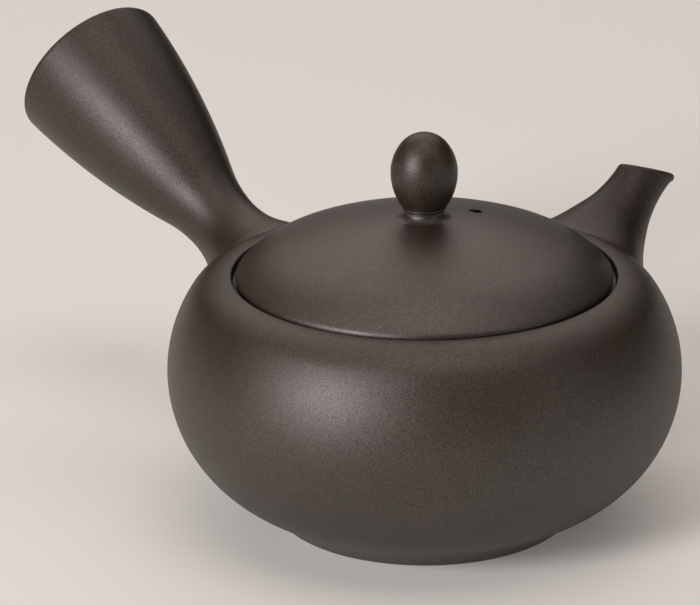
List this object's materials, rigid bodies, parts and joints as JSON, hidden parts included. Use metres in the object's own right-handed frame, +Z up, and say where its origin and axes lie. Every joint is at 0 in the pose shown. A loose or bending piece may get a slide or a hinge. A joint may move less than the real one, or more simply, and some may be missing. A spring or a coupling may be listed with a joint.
{
  "type": "side-handled teapot",
  "caption": "Squat round teapot of unglazed dark clay with a hollow side handle, a short spout with a pierced strainer behind it, and an inset domed lid with an egg-shaped knob.",
  "frame": {"origin": "on the table at the centre of the flat foot", "axes": "+Z up along the pot's axis, +X from the axis towards the spout, the handle to the left of it, by +Y"},
  "size_m": [0.1315, 0.1789, 0.0907],
  "materials": {
    "clay": "unglazed, matte with a faint sheen"
  },
  "bodies": {
    "pot": {"base": "clay", "body": "clay", "spout": "clay", "handle": "clay", "strainer": "clay"},
    "lid": {"lid": "clay", "knob": "clay"}
  },
  "joints": [
    {"name": "lid_lift", "type": "slide", "parent": "pot", "child": "lid", "axis": [0, 0, 1], "range_m": [0, 0.06]}
  ]
}
